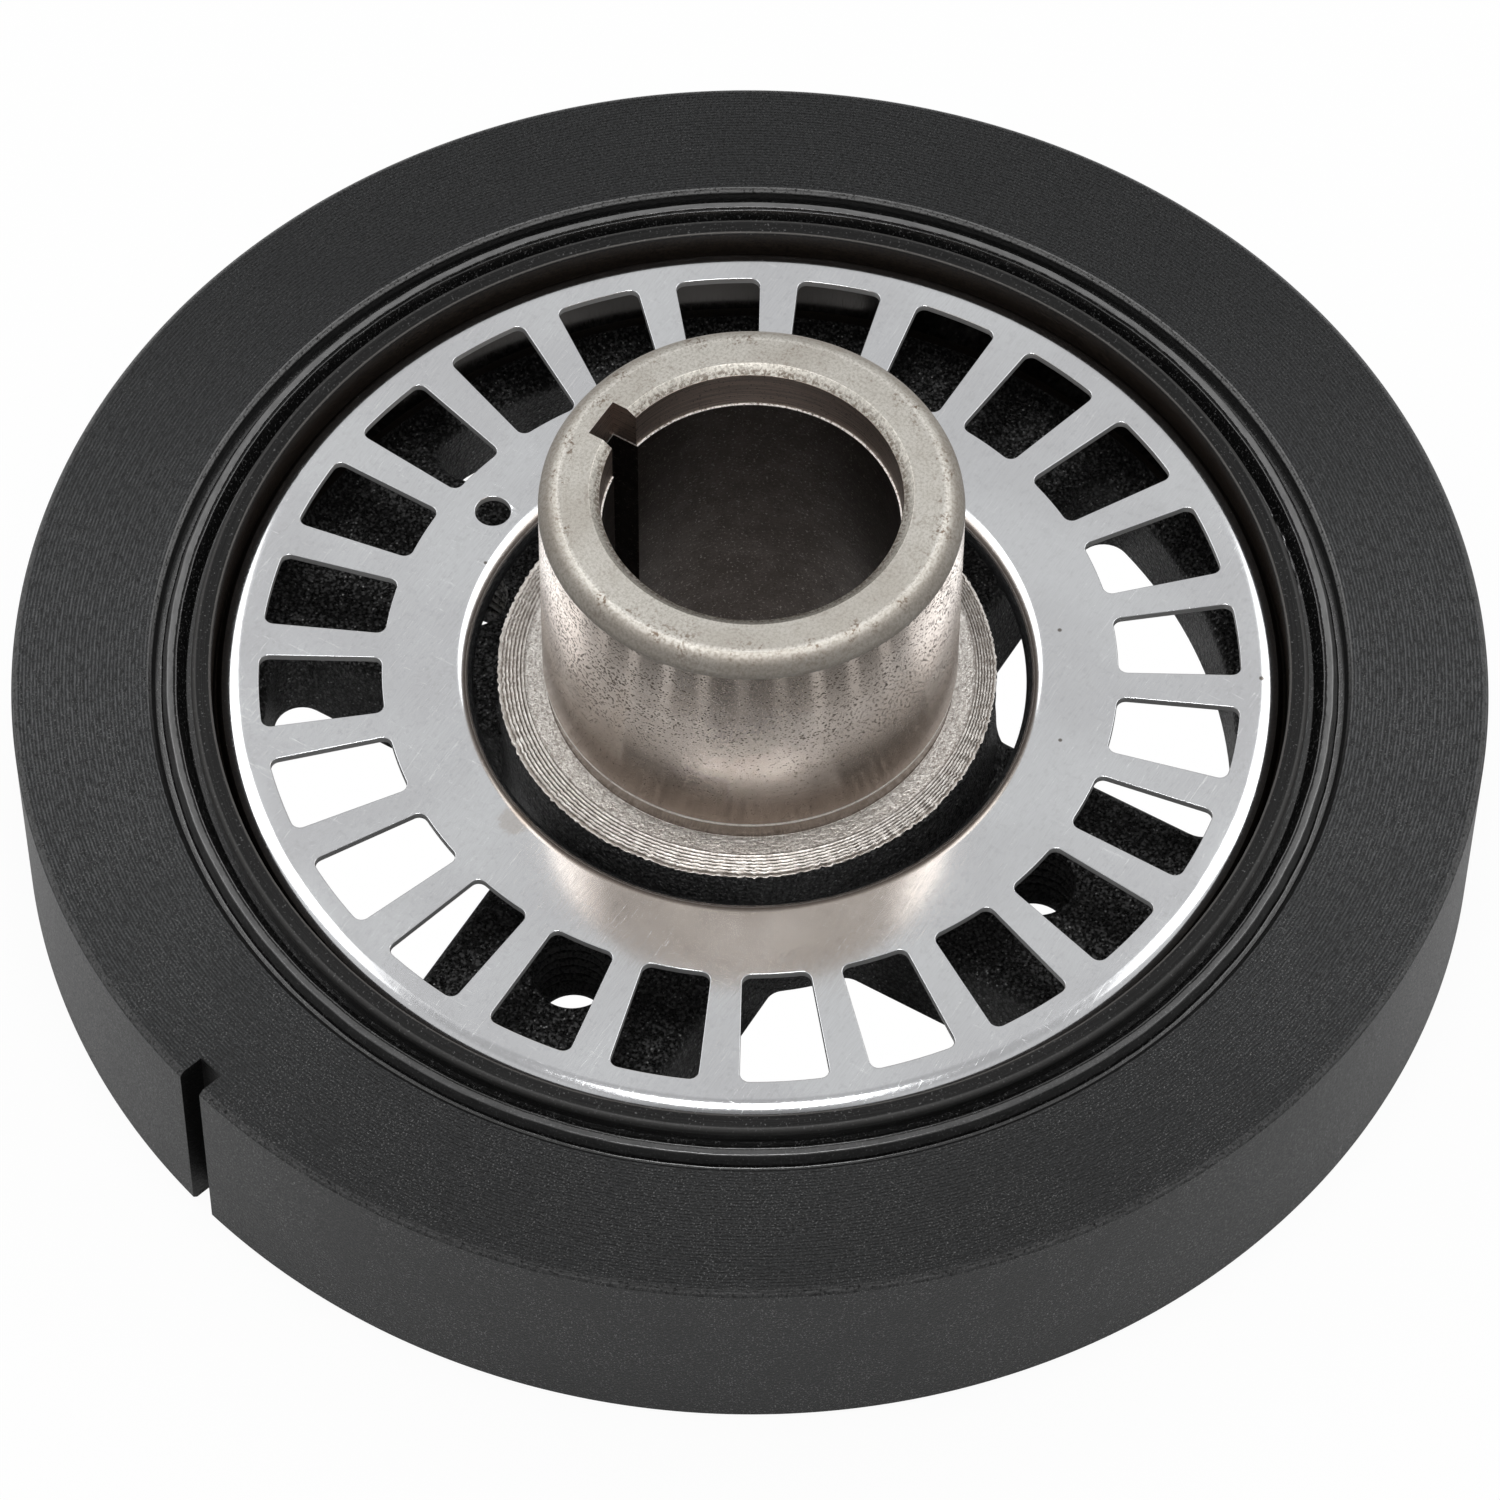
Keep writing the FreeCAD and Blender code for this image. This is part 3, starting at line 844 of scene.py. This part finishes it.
def coated_iron():
    """Thin black coat over turned iron: broken concentric tool lines and grey grains of dust, with painted
    highlights and glints on them, worn edges, a painted highlight on the mouth's edge and painted shade on
    the near part of the top and in the notch.
    """
    f = Finish("coated_iron")
    # Painted highlight: the tool lines are painted brighter where they run along the line of sight, to the
    # left and right, and weaker on the far side.
    sideways_highlight = (f.across / f.radius) ** 4.0
    breaks = f.noise(f.spot(f.radius * 2.6, f.around * 55.0, f.height * 0.2), 1.0, 3.0, 0.65)
    lines = ((f.radius * 16.1 + breaks * 4.0).math("SINE") * 0.5 + 0.5) * breaks.between(0.3, 0.65)
    grain = f.noise(f.place, 3.2, 3.0, 0.65)
    specks = f.noise(f.place, 5.0, 2.0, 0.65)
    patches = f.noise(f.place, 0.12, 3.0, 0.55)
    top = f.height.between(ring_width - 0.7, ring_width - 0.2)
    ends = top + f.height.between(0.7, 0.2)
    mouth = f.radius.between(mouth_radius + 0.05, mouth_radius - 0.1)
    worn = f.radius.between(ring_radius - 0.85, ring_radius - 0.45) * top
    # The dust is real; its specks are painted stronger on the near side as painted glints.
    near_glint_weight = f.along.between(-60.0, 60.0, 0.35, 1.2)
    tool_line_highlight = lines * ends * (sideways_highlight * 0.85 + 0.15) * f.along.between(-60.0, 10.0, 0.4, 1.0)
    dust_and_glints = specks.between(0.57, 0.68) * patches.between(0.35, 0.6, 0.5, 1.0) * near_glint_weight
    base = f.mixed(grain.between(0.36, 0.64), shade(0.001), shade(0.019, -0.05))
    base = f.mixed(tool_line_highlight, base, shade(0.105, -0.03))
    base = f.mixed((1.0 - ends) * 0.35, base, shade(0.038, -0.02))
    base = f.mixed(dust_and_glints, base, shade(0.17))
    base = f.mixed(worn * grain.between(0.3, 0.6) * 0.6, base, shade(0.12))
    # Painted shade: the near part of the top is painted darker.
    base = f.mixed(f.along.between(40.0, 80.0) * top * 0.3, base, shade(0.003))
    base = f.mixed(mouth * 0.9, base, shade(0.003))
    # Painted highlight: the edge of the mouth is painted light grey on the far half.
    mouth_highlight = (f.radius.between(mouth_radius - 0.4, mouth_radius - 0.25)
              * f.radius.between(mouth_radius + 0.22, mouth_radius + 0.1) * top)
    base = f.mixed(mouth_highlight * f.along.between(20.0, -20.0) * grain.between(0.3, 0.5), base, shade(0.17))
    # Painted shade: the walls and the floor of the notch are painted near-black, without dust.
    c, s = math.cos(math.radians(notch_heading)), math.sin(math.radians(notch_heading))
    notch_shade = ((f.y * c - f.x * s).math("ABSOLUTE").between(notch_half + 0.06, notch_half + 0.02)
               * (f.x * c + f.y * s).between(notch_floor - 0.2, notch_floor - 0.05))
    base = f.mixed(notch_shade, base, shade(0.002))
    return f.done(Base_Color=base, Metallic=0.0, Roughness=grain.between(0.3, 0.7, 0.34, 0.5),
                  Specular_IOR_Level=0.2, Normal=f.bump(lines * ends + grain * 0.8, 0.6, 0.00018))


inertia_ring.data.materials.clear()
inertia_ring.data.materials.append(coated_iron())
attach(inertia_ring, "root")
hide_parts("inertia_ring")

# Studio: a sheet of white paper as the floor, a white room round the part and three soft lamps
# above it. The paper keeps the part's shadow, and the metal mirrors the room.
floor_half = 4000
floor_height = -0.1
floor_corners = ((-1, -1), (1, -1), (1, 1), (-1, 1))
floor = solid_of("studio_floor", [(x * floor_half, y * floor_half, floor_height) for x, y in floor_corners],
                 [(0, 1, 2, 3)])


def white_paper():
    """White floor that shows white to the camera and in reflections, and keeps a soft shadow; under the part
    it is painted full white to the camera over the shadow, and near and under the part its reflections show
    less of the white.
    """
    f = Finish("white_paper")
    ray = f.node("ShaderNodeLightPath").outputs
    matt = f.node("ShaderNodeBsdfDiffuse", {}, {"Color": (0.9, 0.9, 0.9, 1.0)})
    white = f.node("ShaderNodeEmission", {}, {"Color": (1.0, 1.0, 1.0, 1.0), "Strength": 1.0})
    # Painted light: under the part the floor is painted full white to the camera, over the part's shadow.
    under = f.radius.between(ring_radius - 0.4, ring_radius - 4.4)
    direct = Amount(f, ray["Is Camera Ray"]) * under.between(0.0, 1.0, 0.95, 1.0)
    mirrored = (Amount(f, ray["Is Glossy Ray"]).most(Amount(f, ray["Is Transmission Ray"]))
                * (f.radius.between(180.0, 80.0, 1.0, 0.4) - under * 0.36))
    both = f.node("ShaderNodeMixShader", {},
                  {0: direct.most(mirrored), 1: matt.outputs[0], 2: white.outputs[0]})
    f.node("ShaderNodeOutputMaterial", {}, {0: both.outputs[0]})
    return f.material


floor.data.materials.append(white_paper())


class Surroundings(Finish):
    """The white room round the part, put together with the same nodes as a finish."""

    def __init__(self, name):
        self.world = bpy.data.worlds.new(name)
        self.world.use_nodes = True
        self.tree = self.world.node_tree
        self.tree.nodes.clear()
        self.place = self.node("ShaderNodeTexCoord").outputs["Generated"]
        self.x, self.y, self.height = (Amount(self, s) for s in
                                       self.node("ShaderNodeSeparateXYZ", {}, {0: self.place}).outputs)


# The camera looks down at this angle, from the near side.
camera_tilt = math.radians(55)


def white_room():
    """White to the camera and in reflections, plain light on matt faces, darker where the camera stands."""
    f = Surroundings("white_room")
    ray = f.node("ShaderNodeLightPath").outputs
    direct = Amount(f, ray["Is Camera Ray"])
    mirrored = Amount(f, ray["Is Glossy Ray"]).most(Amount(f, ray["Is Transmission Ray"]))
    toward = (f.x * (math.cos(near_heading) * math.cos(camera_tilt))
              + f.y * (math.sin(near_heading) * math.cos(camera_tilt)) + f.height * math.sin(camera_tilt))
    stand = toward.between(0.93, 0.98, 0.0, 0.4) + toward.between(0.975, 0.987, 0.0, 0.55)
    ceiling = f.height.between(0.18, 0.72, 0.12, 1.0) * f.height.between(0.87, 0.95, 1.0, 0.72)
    level = direct.between(0.0, 1.0, 0.38, 1.0).most(mirrored * (1.0 - stand) * ceiling)
    glow = f.node("ShaderNodeBackground", {}, {1: level})
    f.node("ShaderNodeOutputWorld", {}, {0: glow.outputs[0]})
    return f.world


bpy.context.scene.world = white_room()


def soft_lamp(name, place, size, power):
    """Square soft lamp aimed at the middle of the part."""
    data = bpy.data.lights.new(name, "AREA")
    data.shape = "SQUARE"
    data.size = size
    data.energy = power
    lamp = bpy.data.objects.new(name, data)
    lamp.location = place
    lamp.rotation_euler = (Vector((0, 0, 0.02)) - Vector(place)).to_track_quat("-Z", "Y").to_euler()
    bpy.context.scene.collection.objects.link(lamp)


soft_lamp("lamp_overhead", (-0.10, -0.06, 0.9), 0.26, 3.1)
soft_lamp("lamp_left", (0.09, 0.63, 0.77), 0.55, 2.1)
soft_lamp("lamp_right", (0.6, -0.22, 0.77), 0.55, 2.1)

# Camera: a long lens at 55 degrees above the floor, on the near side, turned half a degree
# about its own line of sight.
camera_data = bpy.data.cameras.new("camera")
camera_data.lens = 175.06
camera_data.sensor_width = 36.0
camera_data.clip_start = 0.05
camera = bpy.data.objects.new("camera", camera_data)
camera.matrix_world = (Matrix.Translation((-0.38895, -0.23379, 0.66538))
                       @ Euler((math.radians(34.591), 0, math.radians(-59.0))).to_matrix().to_4x4()
                       @ Matrix.Rotation(math.radians(0.538), 4, "Z"))
bpy.context.scene.collection.objects.link(camera)
bpy.context.scene.camera = camera
bpy.context.scene.view_settings.view_transform = "Standard"
